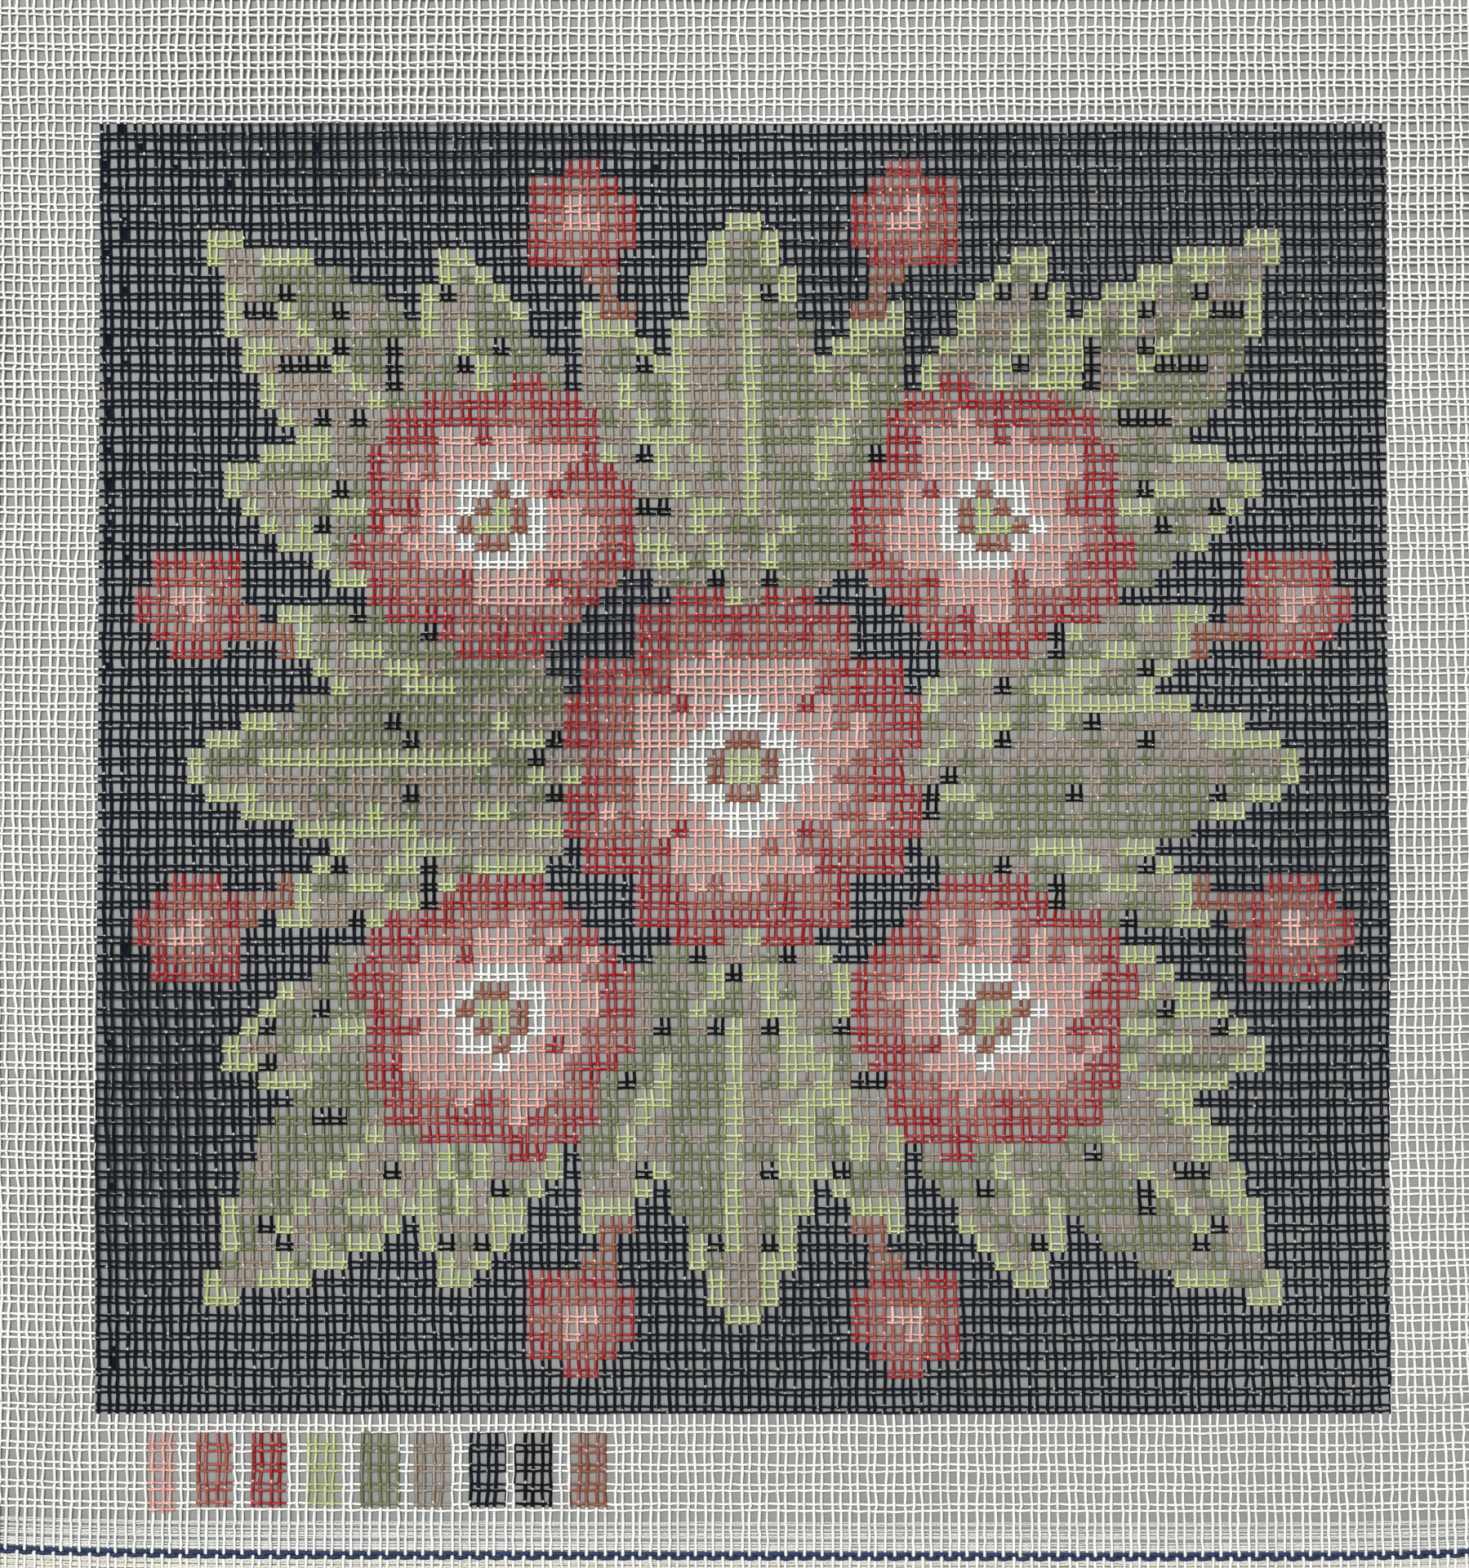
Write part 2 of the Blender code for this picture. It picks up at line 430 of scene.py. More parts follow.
def ink_lines(axis):
    """The x (axis 0) or y (axis 1) of every line where the ink may change."""
    cells = -PRINT_EDGE + PAIR_PITCH * np.arange(PAIRS_IN_PRINT + 1)
    if axis == 1:
        feet = [KEY_FOOT - block.sag for block in COLOUR_KEY]
        return np.unique(np.concatenate([cells, feet, [KEY_TOP]])) - MIDDLE_Y
    lefts = np.array([block.left for block in COLOUR_KEY])
    rights = np.array([block.left + block.width for block in COLOUR_KEY])
    return np.sort(np.concatenate([cells, lefts - PRINT_EDGE, rights - PRINT_EDGE]))


# The threads

# A yarn as rings: where their middles are, their half width and half height, how far the
# stretches between them are from a thread that kept the ink off, and the rings' own numbers
Yarn = namedtuple("Yarn", "places half_width half_height cover numbers")

# A distance in mm that is past every nick
UNCOVERED = 9.0

# Ink changes are looked for this far to both sides of a line, not this near to a thread's
# ends, in rings, and a ring this near to the line does as well as a new one
INK_TEST = 0.00005
END_ROOM = 0.05
RING_NEAR = 0.00012


def slow_waves(draw, threads, along):
    """Smooth random waves along each thread, about one unit high."""
    total = np.zeros((threads, len(along)))
    for wave in WAVES:
        phase = draw.uniform(0, math.tau, (threads, 1))
        length = wave * draw.uniform(0.8, 1.25, (threads, 1))
        total += np.sin(math.tau * along[None, :] / length + phase)
    return total / math.sqrt(len(WAVES) / 2)


def stray(draw, threads, along, habit):
    """How far each thread lies from its place at each crossing."""
    pair = slow_waves(draw, threads // 2, along).repeat(2, axis=0)
    own = slow_waves(draw, threads, along)
    off_place = draw.normal(0, habit.off_place, (threads, 1))
    jog = draw.normal(0, habit.jog, (threads, len(along)))
    return habit.pair * pair + habit.own * own + off_place + jog


def paired(middles, gaps):
    """The two threads of each pair, from the pairs' middles and the gaps in them."""
    return np.column_stack([middles - gaps / 2, middles + gaps / 2]).ravel()


def upright_places():
    """Where the upright threads lie."""
    middles = -HALF_WIDTH + UPRIGHT_SHIFT + (np.arange(UPRIGHTS // 2) + 0.5) * PAIR_PITCH
    return paired(middles, UPRIGHT_GAP)


def level_places():
    """Where the level threads lie, with the pairs under the print further apart. Each cell of
    the print starts a little below its pair."""
    first = -PRINT_EDGE + PAIR_PITCH / 4
    foot = first - FOOT_PITCH * np.arange(FOOT_PAIRS, 0, -1)
    rest = first + PAIR_PITCH * np.arange(PAIRS_IN_PRINT + TOP_PAIRS)
    gaps = np.append(np.full(len(foot), FOOT_GAP), np.full(len(rest), LEVEL_GAP))
    return paired(np.append(foot, rest), gaps)


def cut_ends(draw, spread):
    """Where a strand of the selvedge is cut at the left and at the right."""
    upright = upright_places()
    left, right = draw.normal(RAW_END, spread, 2)
    left, right = max(RAW_END_LEAST, left), max(RAW_END_LEAST, right)
    return [upright[0] - left, upright[-1] + right]


def crossings(draw):
    """u and v of every crossing, by upright thread and level thread."""
    upright, level = upright_places(), level_places()
    u = upright[:, None] + stray(draw, UPRIGHTS, level, UPRIGHT_HABIT)
    v = level[None, :] + stray(draw, LEVELS, upright, LEVEL_HABIT).T
    return u, v


def headings(points):
    """The level direction of a line of points at each of them."""
    step = np.gradient(points[:, :2], axis=0)
    return step / np.linalg.norm(step, axis=1, keepdims=True)


def crossing_rings(points, over):
    """Two rings on each crossing where the thread is on top, and one on each other."""
    counts = np.where(over, 2, 1)
    crossing = np.repeat(np.arange(len(points)), counts)
    first = np.cumsum(counts) - counts
    shift = np.zeros(len(crossing))
    shift[first[over]] = -HALF_PLATEAU
    shift[first[over] + 1] = HALF_PLATEAU
    level = points[crossing] + headings(points)[crossing] * shift[:, None]
    height = np.where(over[crossing], CREST, -CREST)
    return level, height, crossing


def inkless_spots(draw, places, under, share, ahead):
    """For each stretch between rings, how far its two ends are from a crossing thread that
    kept the ink off, in mm, where that thread has since slid away."""
    length = np.linalg.norm(np.diff(places[:, :2], axis=0), axis=1) * 1000
    cover = np.full((len(length), 2), UNCOVERED)
    bare = np.flatnonzero(under)
    bare = bare[draw.random(len(bare)) < share]
    bare = bare[(bare > 0) & (bare < len(length))]
    stretch = draw.uniform(*NICK_STRETCH, len(bare))
    if ahead:
        cover[bare, 0] = 0
        cover[bare, 1] = length[bare] * stretch
    else:
        cover[bare - 1, 0] = length[bare - 1] * stretch
        cover[bare - 1, 1] = 0
    return cover


def ring_sizes(draw, count, half):
    """Half widths along a thread that is plumper here and thinner there."""
    knots = draw.normal(1, PLUMPNESS, count // 3 + 3)
    return half * np.interp(np.arange(count), np.arange(len(knots)) * 3, knots)


def yarn_at(level, height, wide, half_height, cover=None):
    """A yarn from its rings' places on the table and heights over the middle of the cloth,
    with no nicks unless a cover is given."""
    places = np.column_stack([level, lift(level) + MID_HEIGHT + height])
    tall = np.full(len(level), half_height)
    if cover is None:
        cover = np.full((len(level) - 1, 2), UNCOVERED)
    return Yarn(places, wide, tall, cover, np.arange(len(level), dtype=float))


def woven_yarn(draw, level, height, cover, habit):
    """A woven thread of this habit."""
    wide = ring_sizes(draw, len(level), habit.half_width)
    return yarn_at(level, height, wide, habit.half_height, cover)


def ink_splits(yarn, axis):
    """The ring numbers, between rings, where the ink changes along a thread."""
    lines = ink_lines(axis)
    along = yarn.places[:, axis]
    at = np.interp(lines, along, yarn.numbers)
    inside = (at > END_ROOM) & (at < len(along) - 1 - END_ROOM)
    lines, at = lines[inside], at[inside]
    aside = np.interp(at, yarn.numbers, yarn.places[:, 1 - axis])
    changes = np.zeros(len(lines), dtype=bool)
    for side in (-HALF_THREAD / 2, HALF_THREAD / 2):
        spots = [aside + side, aside + side]
        spots.insert(axis, lines - INK_TEST)
        before = ink_at(spots[0], spots[1])
        spots[axis] = lines + INK_TEST
        after = ink_at(spots[0], spots[1])
        changes |= before != after
    near = abs(np.interp(np.round(at), yarn.numbers, along) - lines) < RING_NEAR
    return at[changes & ~near]


def split_at_ink(yarn, axis):
    """The same thread with a ring more wherever its ink changes."""
    numbers = np.sort(np.append(yarn.numbers, ink_splits(yarn, axis)))
    lines = [np.interp(numbers, yarn.numbers, line) for line in yarn.places.T]
    places = np.column_stack(lines)
    half_width = np.interp(numbers, yarn.numbers, yarn.half_width)
    half_height = np.interp(numbers, yarn.numbers, yarn.half_height)
    old = np.minimum(np.floor(numbers[:-1]).astype(int), len(yarn.cover) - 1)
    start, end = yarn.cover[old].T
    cover = np.column_stack([
        start + (end - start) * (numbers[:-1] - old),
        start + (end - start) * (numbers[1:] - old),
    ])
    return Yarn(places, half_width, half_height, cover, numbers)


def raw_end(draw, level, height, ahead):
    """The last rings of a cut thread, which droops to the table past its last crossing."""
    inner, outer = (level[-2], level[-1]) if ahead else (level[1], level[0])
    way = (outer - inner) / np.linalg.norm(outer - inner)
    aside = np.array([-way[1], way[0]]) * draw.normal(0, TIP_ASIDE)
    length = max(RAW_END_LEAST, RAW_END + draw.normal(0, RAW_END_SPREAD))
    tip = outer + way * length + aside
    elbow = outer + way * length * ELBOW_ALONG + aside * ELBOW_ASIDE
    tip_height = -CREST + abs(draw.normal(0, TIP_RISE))
    if ahead:
        return np.vstack([level, elbow, tip]), np.append(height, [ELBOW_HEIGHT, tip_height])
    return np.vstack([tip, elbow, level]), np.append([tip_height, ELBOW_HEIGHT], height)


def selvedge_run(draw, thread, foot_u):
    """An upright thread's way through the selvedge, from its turn at the outer edge up to its
    lowest plain crossing: places on the table and heights."""
    left_of_pair = thread % 2 == 0
    at_yarns = (OVER_YARN, -CREST) if left_of_pair else (-CREST, OVER_YARN)
    yarn_bends = (Bend(YARN_DEPTHS[1], at_yarns[0]), Bend(YARN_DEPTHS[0], at_yarns[1]))
    depths, heights = np.array(OUTER_BENDS + yarn_bends + INNER_BENDS).T
    lean = draw.normal(0, BEND_LEAN, len(depths))
    side = -1 if left_of_pair else 1
    turn = np.radians(LOOP_TURNS)
    loop_u = foot_u - side * LOOP_RADIUS + side * LOOP_RADIUS * np.sin(turn)
    loop_v = BOTTOM + LOOP_INSET - LOOP_RADIUS * np.cos(turn)
    u = np.append(loop_u, foot_u + lean)
    v = np.append(loop_v, SELVEDGE_TOP - depths)
    height = np.append(np.zeros(len(turn)), heights)
    return on_table(u, v), height


def upright_yarn(draw, thread, u, v):
    """One thread that runs up the picture, from the selvedge to the raw top edge."""
    points = on_table(u[thread], v[thread])
    over = (thread + np.arange(LEVELS)) % 2 == 0
    level, height, crossing = crossing_rings(points, over)
    under = height < 0
    foot, foot_height = selvedge_run(draw, thread, u[thread, 0])
    level = np.vstack([foot, level])
    height = np.append(foot_height, height)
    under = np.append(np.zeros(len(foot), dtype=bool), under)
    level, height = raw_end(draw, level, height, ahead=True)
    under = np.append(under, [False, False])
    cover = inkless_spots(draw, level, under, UPRIGHT_NICKS, ahead=True)
    crossing = np.concatenate([np.full(len(foot), -1), crossing, [-1, -1]])
    yarn = woven_yarn(draw, level, height, cover, UPRIGHT_HABIT)
    return split_at_ink(yarn, axis=1), crossing


def level_yarn(draw, thread, u, v):
    """One thread that runs across the picture, from raw edge to raw edge."""
    points = on_table(u[:, thread], v[:, thread])
    over = (thread + np.arange(UPRIGHTS)) % 2 == 1
    level, height, _ = crossing_rings(points, over)
    level, height = raw_end(draw, level, height, ahead=True)
    level, height = raw_end(draw, level, height, ahead=False)
    cover = inkless_spots(draw, level, height == -CREST, LEVEL_NICKS, ahead=False)
    return split_at_ink(woven_yarn(draw, level, height, cover, LEVEL_HABIT), axis=0)


def part_of(yarn, first, last):
    """The stretch of a thread between two of its ring numbers."""
    start, end = np.searchsorted(yarn.numbers, [first, last])
    rings = slice(start, end + 1)
    return Yarn(
        yarn.places[rings],
        yarn.half_width[rings],
        yarn.half_height[rings],
        yarn.cover[start:end],
        yarn.numbers[rings],
    )


# Meshes from yarns

class YarnMesh:
    """Gathers the yarns of one piece as closed tubes in one mesh."""

    def __init__(self, sides):
        self.sides = sides
        self.corner_count = 0
        self.corners = []
        self.walls = []
        self.ends = []
        self.tones = []
        self.covers = []
        self.wraps = []
        self.end_tones = []

    def add(self, yarn, tones):
        """tones has a linear colour for each stretch and each of the tube's sides."""
        rings, sides = len(yarn.places), self.sides
        heading = headings(yarn.places)
        aside = np.column_stack([heading[:, 1], -heading[:, 0], np.zeros(rings)])
        angle = math.tau * np.arange(sides) / sides
        wide = aside[:, None, :] * (yarn.half_width[:, None] * np.cos(angle))[:, :, None]
        tall = np.zeros((rings, sides, 3))
        tall[:, :, 2] = yarn.half_height[:, None] * np.sin(angle)
        self.corners.append((yarn.places[:, None, :] + wide + tall).reshape(-1, 3))
        ring = np.arange(rings - 1)[:, None] * sides + self.corner_count
        here, there = np.arange(sides), (np.arange(sides) + 1) % sides
        wall = np.stack([ring + here, ring + sides + here, ring + sides + there, ring + there], 2)
        self.walls.append(wall.reshape(-1, 4))
        first = self.corner_count + np.arange(sides)
        last = first[::-1] + (rings - 1) * sides
        self.ends += [first.tolist(), last.tolist()]
        self.end_tones += [tones[0, 0], tones[-1, 0]]
        self.tones.append(tones.reshape(-1, 3))
        self.covers.append(np.repeat(yarn.cover[:, [0, 1, 1, 0]], sides, axis=0))
        self.wraps.append(self.wrap(yarn, here))
        self.corner_count += rings * sides

    def wrap(self, yarn, here):
        """Each wall's place in mm along the yarn and in turns round it."""
        steps = np.linalg.norm(np.diff(yarn.places, axis=0), axis=1)
        along = np.append(0, np.cumsum(steps)) * 1000
        start, end = along[:-1, None] + 0 * here, along[1:, None] + 0 * here
        low, high = here / self.sides + 0 * start, (here + 1) / self.sides + 0 * start
        return np.stack([start, low, end, low, end, high, start, high], 2).reshape(-1, 8)

    def build(self, name, material):
        """The finished object."""
        walls = np.concatenate(self.walls)
        mesh = bpy.data.meshes.new(name)
        corners = np.concatenate(self.corners)
        mesh.from_pydata(corners.tolist(), [], walls.tolist() + self.ends)
        cut_ends = len(self.ends) * self.sides
        wall_tones = np.concatenate(self.tones).repeat(4, axis=0)
        end_tones = np.array(self.end_tones).repeat(self.sides, axis=0)
        tones = np.ones((len(wall_tones) + cut_ends, 4))
        tones[:, :3] = np.concatenate([wall_tones, end_tones])
        ink = mesh.color_attributes.new("ink", "FLOAT_COLOR", "CORNER")
        ink.data.foreach_set("color", tones.ravel())
        cover = np.append(np.concatenate(self.covers).ravel(), np.full(cut_ends, UNCOVERED))
        mesh.attributes.new("cover", "FLOAT", "CORNER").data.foreach_set("value", cover)
        wrap = np.append(np.concatenate(self.wraps).ravel(), np.zeros(cut_ends * 2))
        mesh.uv_layers.new(name="wrap").data.foreach_set("uv", wrap)
        smooth = np.append(np.ones(len(walls), dtype=bool), np.zeros(len(self.ends), dtype=bool))
        mesh.polygons.foreach_set("use_smooth", smooth)
        mesh.materials.append(material)
        mesh.update()
        piece = bpy.data.objects.new(name, mesh)
        bpy.context.scene.collection.objects.link(piece)
        return piece


def printed_tones(draw, yarn):
    """The ink on each side of a woven thread, which is paler underneath. Dark inks miss
    least of it."""
    middle = (yarn.places[1:] + yarn.places[:-1]) / 2
    heading = headings(yarn.places)[:-1]
    aside = np.column_stack([heading[:, 1], -heading[:, 0]]) * HALF_THREAD / 2
    right = INK_COLOURS[ink_at(*(middle[:, :2] + aside).T)]
    left = INK_COLOURS[ink_at(*(middle[:, :2] - aside).T)]
    white = INK_COLOURS[WHITE_INK]
    sides = []
    for side in (right, left):
        depth = side.mean(axis=1, keepdims=True)
        missed = draw.normal(MISSED, MISSED_SPREAD, (len(side), 1))
        missed = np.clip(missed, 0, MISSED_MOST) * np.clip(depth * 3, 0.02, 1)
        sides.append(side + missed * (white - side))
    through = [white + BLEED_THROUGH * (side - white) for side in sides[::-1]]
    tones = np.stack(sides + through, axis=1)
    knots = draw.normal(1, SHADE_SPREAD, len(middle) // SHADE_STEP + 3)
    along = np.arange(len(middle)) / SHADE_STEP
    shade = draw.normal(1, THREAD_SHADE) * np.interp(along, np.arange(len(knots)), knots)
    return np.clip(tones * shade[:, None, None], 0, 1)


# The materials

# A nick's strength, where it fades out in mm from the crossing thread, and how far the twist
# slants its edge
NICK_STRENGTH = 0.65
NICK_FADE = (0.60, 0.80)
NICK_SLANT = 0.12
FIBRE_SCALE = 2600
FIBRE_TONES = (0.86, 1.10)
FIBRE_RELIEF = 0.5
PLIES = 2
TWIST_LENGTH_MM = 0.9
TABLE_TONES = ((0.24, 0.25, 0.245, 1), (0.285, 0.29, 0.283, 1))


def add_node(material, kind, **settings):
    """A node of this kind in a material, with its settings."""
    node = material.node_tree.nodes.new(kind)
    for setting, value in settings.items():
        setattr(node, setting, value)
    return node


def join(material, source, target):
    """A link from one socket to another."""
    material.node_tree.links.new(source, target)


def cotton_material(name, roughness, gloss, bump_height):
    """Cotton yarn: its ink, white nicks where no ink came, a twist and fine fibres."""
    material = bpy.data.materials.new(name)
    material.use_nodes = True
    shader = material.node_tree.nodes["Principled BSDF"]
    shader.inputs["Roughness"].default_value = roughness
    shader.inputs["Specular IOR Level"].default_value = gloss
    shader.inputs["Sheen Weight"].default_value = 0.01
    shader.inputs["Sheen Roughness"].default_value = 0.5

    ink = add_node(material, "ShaderNodeAttribute", attribute_name="ink")
    cover = add_node(material, "ShaderNodeAttribute", attribute_name="cover")
    nick = add_node(material, "ShaderNodeMapRange", interpolation_type="SMOOTHSTEP")
    nick.inputs["From Min"].default_value = NICK_FADE[0]
    nick.inputs["From Max"].default_value = NICK_FADE[1]
    nick.inputs["To Min"].default_value = NICK_STRENGTH
    nick.inputs["To Max"].default_value = 0.0
    twist = twist_height(material)
    slant = add_node(material, "ShaderNodeMath", operation="MULTIPLY_ADD")
    slant.inputs[1].default_value = NICK_SLANT
    join(material, twist, slant.inputs[0])
    join(material, cover.outputs["Fac"], slant.inputs[2])
    join(material, slant.outputs["Value"], nick.inputs["Value"])
    bare = add_node(material, "ShaderNodeMix", data_type="RGBA")
    bare.inputs["B"].default_value = (*INK_COLOURS[WHITE_INK], 1)
    join(material, nick.outputs["Result"], bare.inputs["Factor"])
    join(material, ink.outputs["Color"], bare.inputs["A"])

    place = add_node(material, "ShaderNodeTexCoord")
    fibres = add_node(material, "ShaderNodeTexNoise")
    fibres.inputs["Scale"].default_value = FIBRE_SCALE
    fibres.inputs["Detail"].default_value = 3
    join(material, place.outputs["Object"], fibres.inputs["Vector"])
    mottle = add_node(material, "ShaderNodeMapRange")
    mottle.inputs["To Min"].default_value = FIBRE_TONES[0]
    mottle.inputs["To Max"].default_value = FIBRE_TONES[1]
    join(material, fibres.outputs["Fac"], mottle.inputs["Value"])
    shade = add_node(material, "ShaderNodeVectorMath", operation="SCALE")
    join(material, bare.outputs["Result"], shade.inputs[0])
    join(material, mottle.outputs["Result"], shade.inputs["Scale"])
    join(material, shade.outputs["Vector"], shader.inputs["Base Color"])

    relief = add_node(material, "ShaderNodeMath", operation="MULTIPLY_ADD")
    relief.inputs[1].default_value = FIBRE_RELIEF
    join(material, fibres.outputs["Fac"], relief.inputs[0])
    join(material, twist, relief.inputs[2])
    bump = add_node(material, "ShaderNodeBump")
    bump.inputs["Strength"].default_value = 0.7
    bump.inputs["Distance"].default_value = bump_height
    join(material, relief.outputs["Value"], bump.inputs["Height"])
    join(material, bump.outputs["Normal"], shader.inputs["Normal"])
    return material


def twist_height(material):
    """The height of the plies twisted round each other, from the yarn's own wrap."""
    wrap = add_node(material, "ShaderNodeUVMap", uv_map="wrap")
    split = add_node(material, "ShaderNodeSeparateXYZ")
    join(material, wrap.outputs["UV"], split.inputs["Vector"])
    turns = add_node(material, "ShaderNodeMath", operation="MULTIPLY")
    turns.inputs[1].default_value = PLIES * math.tau
    join(material, split.outputs["Y"], turns.inputs[0])
    phase = add_node(material, "ShaderNodeMath", operation="MULTIPLY_ADD")
    phase.inputs[1].default_value = math.tau / TWIST_LENGTH_MM
    join(material, split.outputs["X"], phase.inputs[0])
    join(material, turns.outputs["Value"], phase.inputs[2])
    wave = add_node(material, "ShaderNodeMath", operation="SINE")
    join(material, phase.outputs["Value"], wave.inputs[0])
    return wave.outputs["Value"]


def table_material():
    """A plain pale table top."""
    material = bpy.data.materials.new("pale_table")
    material.use_nodes = True
    shader = material.node_tree.nodes["Principled BSDF"]
    shader.inputs["Roughness"].default_value = 0.9
    shader.inputs["Specular IOR Level"].default_value = 0.2
    place = add_node(material, "ShaderNodeTexCoord")
    cloudy = add_node(material, "ShaderNodeTexNoise")
    cloudy.inputs["Scale"].default_value = 14
    join(material, place.outputs["Object"], cloudy.inputs["Vector"])
    tone = add_node(material, "ShaderNodeMix", data_type="RGBA")
    tone.inputs["A"].default_value = TABLE_TONES[0]
    tone.inputs["B"].default_value = TABLE_TONES[1]
    join(material, cloudy.outputs["Fac"], tone.inputs["Factor"])
    join(material, tone.outputs["Result"], shader.inputs["Base Color"])
    return material


# The pieces

Strip = namedtuple("Strip", "name first_pair last_pair")


def cloth_strips():
    """The cloth in strips, from the selvedge up, each with its pairs of level threads."""
    strips = [Strip("weave_foot_margin", 0, FOOT_PAIRS - 1)]
    quarter = PAIRS_IN_PRINT // 4
    for number in range(4):
        first = FOOT_PAIRS + number * quarter
        strips.append(Strip(f"weave_print_{number + 1}", first, first + quarter - 1))
    last_print = FOOT_PAIRS + PAIRS_IN_PRINT
    strips.append(Strip("weave_top_margin", last_print, last_print + TOP_PAIRS - 1))
    return strips


def hidden_cut(thread, crossing, pair):
    """The ring number of an upright thread under a level thread of this pair, where a cut
    is out of sight."""
    level = 2 * pair + (thread + 1) % 2
    return int(np.flatnonzero(crossing == level)[0])


def add_strand(cloth, draw, depth, outward, tone):
    """A fine strand of a selvedge ribbon, which runs under the upright threads and bows
    outward between them."""
    upright = upright_places()
    between = upright[1::2][:-1] + (PAIR_PITCH - UPRIGHT_GAP) / 2
    u = np.sort(np.concatenate([upright, between, cut_ends(draw, STRAND_CUT_SPREAD)]))
    waves = slow_waves(draw, 1, u)[0]
    v = SELVEDGE_TOP - depth + STRAND_WAVE * waves + draw.normal(0, STRAND_JOG, len(u))
    free = np.isin(u, between)
    v = v - outward * np.where(free, STRAND_SPREAD, -STRAND_SPREAD)
    jog = draw.normal(0, STRAND_RISE_JOG, len(u))
    height = STRAND_HEIGHT + np.where(free, STRAND_RISE, 0) + jog
    wide = ring_sizes(draw, len(u), STRAND_HALF_WIDTH)
    shade = draw.normal(1, THREAD_SHADE)
    tones = np.tile(np.clip(tone * shade, 0, 1), (len(u) - 1, cloth.sides, 1))
    cloth.add(yarn_at(on_table(u, v), height, wide, STRAND_HALF_HEIGHT), tones)


def add_ribbons(cloth, draw):
    """The white ribbons above the blue yarn and the cream ones below it."""
    for ribbon in RIBBONS:
        tone = linear(RIBBON_CREAM if ribbon.top > YARN_DEPTHS[1] else RIBBON_WHITE)
        middle = (ribbon.top + ribbon.foot) / 2
        for depth in np.linspace(ribbon.top, ribbon.foot, ribbon.strands):
            add_strand(cloth, draw, depth, np.sign(depth - middle), tone)


def film_spots(draw):
    """The small gaps that ink has filled, by pair of uprights and pair of level threads: most
    are near the left edge of the print, and a few at its top."""
    rows = np.arange(PAIRS_IN_PRINT)
    chance = np.where(rows > 46, 0.55, 0.14)
    filled = FOOT_PAIRS + rows[draw.random(len(rows)) < chance]
    spots = [(SIDE_PAIRS + int(draw.random() < 0.3), row) for row in filled]
    for aside in (2, 4, 7, 12, 31):
        spots.append((SIDE_PAIRS + aside, FOOT_PAIRS + PAIRS_IN_PRINT - int(draw.integers(2, 9))))
    return spots


def add_films(cloth, draw, strip, u, v):
    """Flat films of ink between the two uprights of a pair."""
    for pair, row in film_spots(np.random.default_rng(FILM_SEED)):
        if not strip.first_pair <= row <= strip.last_pair:
            continue
        left, right, top = 2 * pair, 2 * pair + 1, 2 * row + 1
        middle_u = (u[left, top] + u[right, top]) / 2
        span = np.linspace(0, draw.uniform(*FILM_SPAN), len(FILM_WIDTHS))
        span = span * (v[left, top + 1] - v[left, top])
        level = on_table(np.full_like(span, middle_u), v[left, top] + span)
        if ink_at(*level[1]) != NAVY_INK:
            continue
        wide = UPRIGHT_GAP / 2 * np.array(FILM_WIDTHS)
        tones = np.tile(INK_COLOURS[NAVY_INK], (len(span) - 1, cloth.sides, 1))
        cloth.add(yarn_at(level, FILM_HEIGHT, wide, FILM_HALF_HEIGHT), tones)


def make_cloth(material):
    """Every strip of the cloth, by name."""
    draw = np.random.default_rng(CLOTH_SEED)
    u, v = crossings(draw)
    uprights = [upright_yarn(draw, thread, u, v) for thread in range(UPRIGHTS)]
    levels = [level_yarn(draw, thread, u, v) for thread in range(LEVELS)]
    pieces = []
    for strip in cloth_strips():
        cloth = YarnMesh(sides=4)
        for yarn in levels[2 * strip.first_pair:2 * strip.last_pair + 2]:
            cloth.add(yarn, printed_tones(draw, yarn))
        for thread, (yarn, crossing) in enumerate(uprights):
            first, last = 0, len(crossing) - 1
            if strip.first_pair > 0:
                first = hidden_cut(thread, crossing, strip.first_pair)
            if strip.last_pair < LEVELS // 2 - 1:
                last = hidden_cut(thread, crossing, strip.last_pair + 1)
            stretch = part_of(yarn, first, last)
            cloth.add(stretch, printed_tones(draw, stretch))
        if strip.first_pair == 0:
            add_ribbons(cloth, draw)
        add_films(cloth, draw, strip, u, v)
        pieces.append((strip, cloth.build(strip.name, material)))
    return pieces


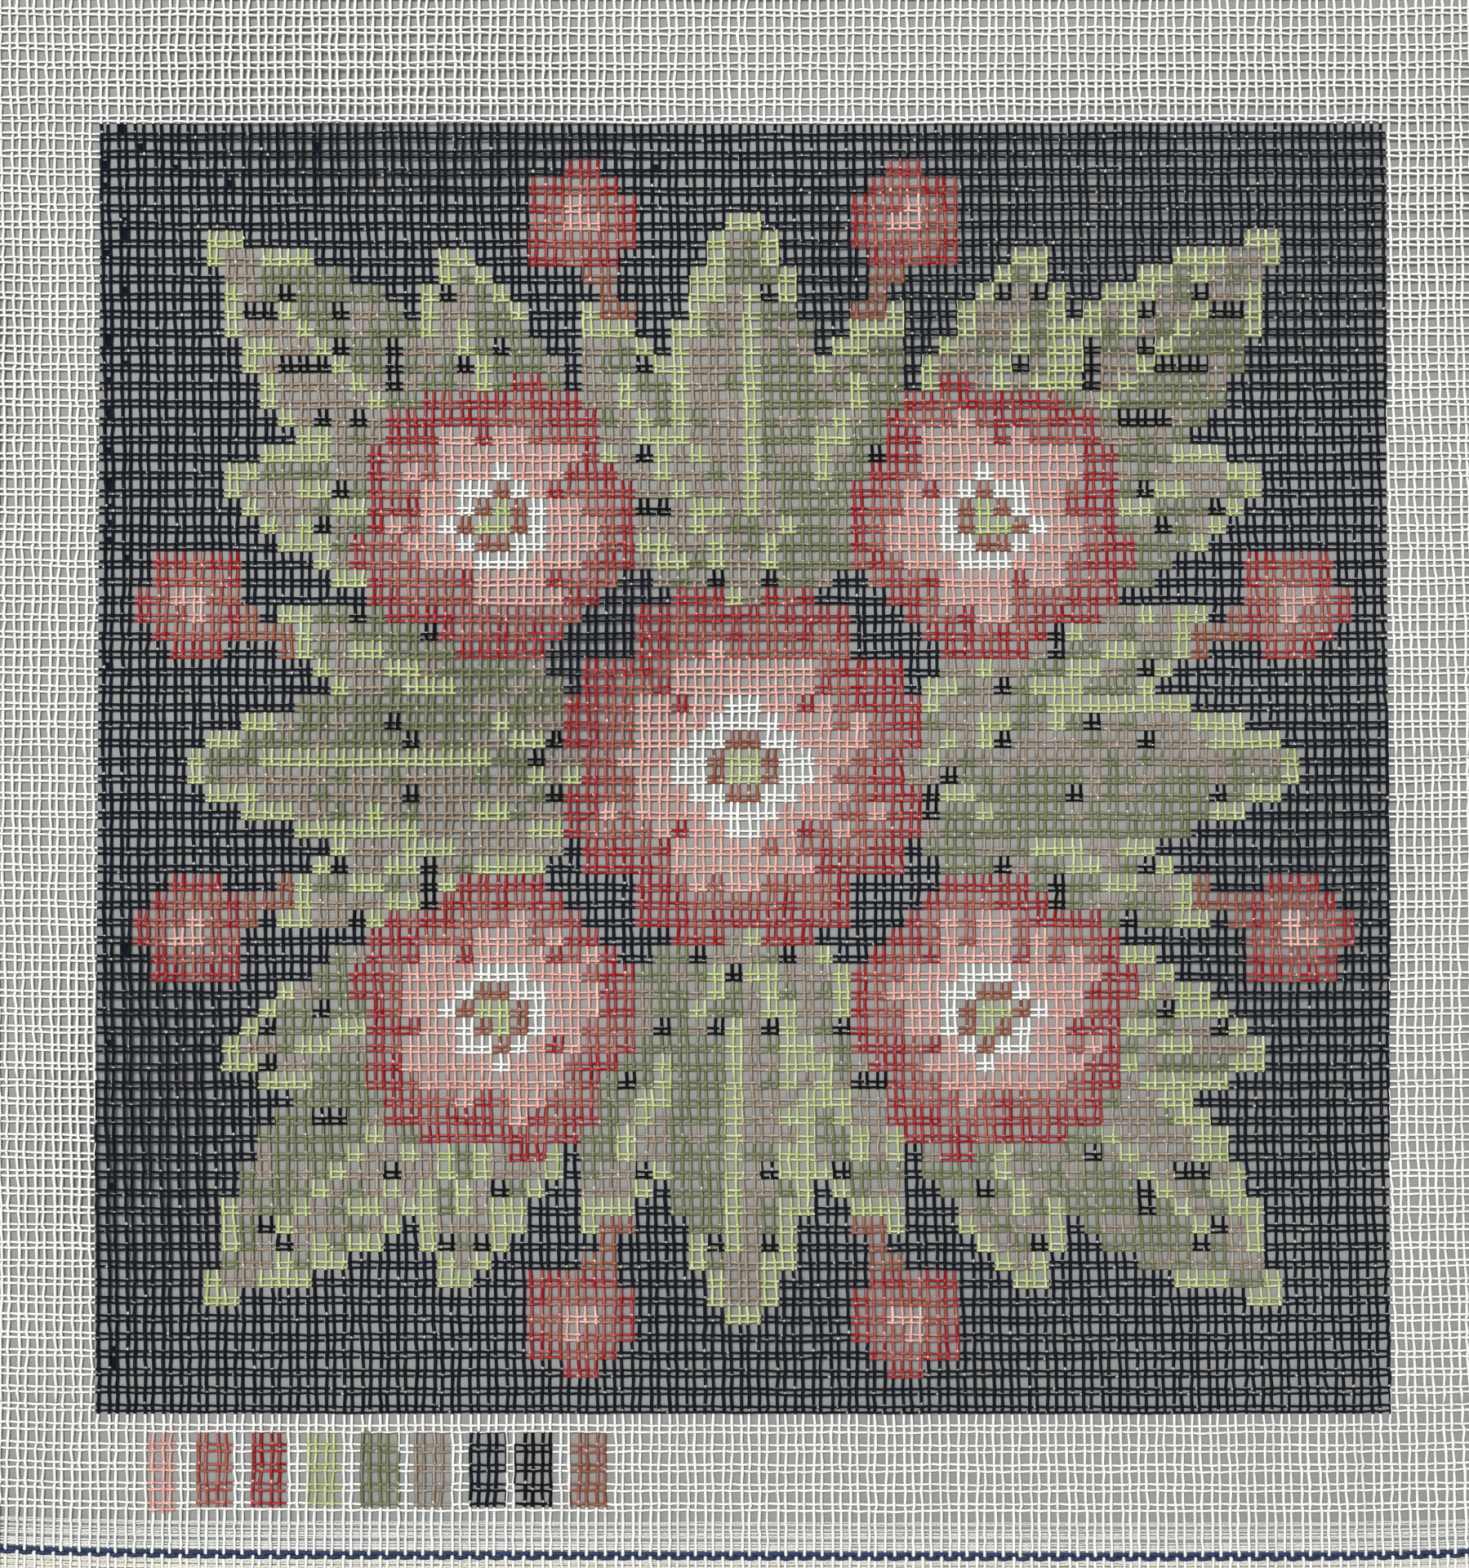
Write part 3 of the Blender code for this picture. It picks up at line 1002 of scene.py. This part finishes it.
def make_blue_yarn(material):
    """The two blue yarns of the selvedge, each under one upright thread of a pair and over
    the other."""
    draw = np.random.default_rng(YARN_SEED)
    cloth = YarnMesh(sides=8)
    upright = upright_places()
    middles = (upright[1:] + upright[:-1]) / 2
    for row, depth in enumerate(YARN_DEPTHS):
        over = (np.arange(UPRIGHTS) + row) % 2 == 0
        near = (upright[:, None] + np.array(YARN_STEPS)).ravel()
        u = np.sort(np.concatenate([near, middles, cut_ends(draw, YARN_CUT_SPREAD)]))
        slope = np.interp(u, upright, np.where(over, 1.0, -1.0))
        rise = np.sin(math.pi / 2 * np.clip(YARN_STEEPNESS * slope, -1, 1))
        height = YARN_CREST * rise + YARN_HEIGHT
        tuck = YARN_TUCK * (-1 if row == 0 else 1) * rise
        v = SELVEDGE_TOP - depth - tuck + YARN_WAVE * slow_waves(draw, 1, u)[0]
        wide = ring_sizes(draw, len(u), YARN_HALF_WIDTH) * (1 + YARN_PINCH * rise)
        shade = draw.normal(1, YARN_SHADE, len(u) - 1)
        # Painted shade: the sides of each yarn that face the other one are darkened, for the
        # shadow in the groove between them
        crease_shade = np.ones((1, cloth.sides, 1))
        facing_other_yarn = [0, 7] if row == 0 else [3, 4]
        crease_shade[0, facing_other_yarn] = YARN_CREASE_SHADE
        tones = linear(YARN_BLUE) * shade[:, None, None] * crease_shade
        yarn = yarn_at(on_table(u, v), height, wide, YARN_HALF_HEIGHT)
        cloth.add(yarn, np.clip(tones, 0, 1))
    return cloth.build("selvedge_blue_yarn", material)


def declare(piece):
    """Hangs a piece of the cloth under the root body and hides the solid's canvas part."""
    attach(piece, "root")
    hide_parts("canvas")


# The stage

CAMERA_DISTANCE = 0.676
CAMERA_LENS = 50
SENSOR = 36
CAMERA_TILT = math.radians(0.8)
AIM = Vector((-0.0026, -0.0085, 0.0))
TABLE_HALF_SIDE = 1.5
TABLE_TOP = -0.00005
DAYLIGHT = 0.32


def make_camera():
    """Nearly straight down, as the photo was taken."""
    data = bpy.data.cameras.new("camera")
    data.sensor_fit = "VERTICAL"
    data.sensor_height = SENSOR
    data.lens = CAMERA_LENS
    camera = bpy.data.objects.new("camera", data)
    bpy.context.scene.collection.objects.link(camera)
    turn = Matrix.Rotation(CAMERA_TILT, 4, "X")
    back = turn @ Vector((0, 0, CAMERA_DISTANCE))
    camera.matrix_world = Matrix.Translation(AIM + back) @ turn
    bpy.context.scene.camera = camera


def make_table():
    """The surface that the cloth lies on, a hair below its underside."""
    mesh = bmesh.new()
    bmesh.ops.create_grid(mesh, x_segments=2, y_segments=2, size=TABLE_HALF_SIDE)
    bmesh.ops.translate(mesh, verts=mesh.verts, vec=(0, 0, TABLE_TOP))
    data = bpy.data.meshes.new("table")
    mesh.to_mesh(data)
    mesh.free()
    data.materials.append(table_material())
    table = bpy.data.objects.new("table", data)
    bpy.context.scene.collection.objects.link(table)


def soft_light(name, side, place, power):
    """A square soft light that faces the middle of the cloth."""
    data = bpy.data.lights.new(name, "AREA")
    data.shape = "SQUARE"
    data.size = side
    data.energy = power
    light = bpy.data.objects.new(name, data)
    bpy.context.scene.collection.objects.link(light)
    way = Vector(place)
    turn = way.to_track_quat("Z", "Y").to_matrix().to_4x4()
    light.matrix_world = Matrix.Translation(way) @ turn


def make_lights():
    """Plain studio light: one strong soft light, a weak one and an even white sky."""
    soft_light("key_light", side=0.8, place=(-0.35, 0.65, 2.00), power=46)
    soft_light("fill_light", side=1.6, place=(-0.5, -0.9, 1.8), power=7)
    world = bpy.data.worlds.new("studio")
    world.use_nodes = True
    sky = world.node_tree.nodes["Background"]
    sky.inputs["Color"].default_value = (1.0, 1.0, 1.0, 1)
    sky.inputs["Strength"].default_value = DAYLIGHT
    bpy.context.scene.world = world
    bpy.context.scene.view_settings.view_transform = "Standard"


def main():
    """The stage, and then the cloth, each piece hung under the root body."""
    make_camera()
    make_lights()
    make_table()
    cotton = cotton_material("woven_cotton", roughness=0.88, gloss=0.07, bump_height=0.00004)
    blue = cotton_material("blue_cotton", roughness=0.55, gloss=0.30, bump_height=0.00010)
    blue_yarn = make_blue_yarn(blue)
    declare(blue_yarn)
    for strip, piece in make_cloth(cotton):
        declare(piece)


main()
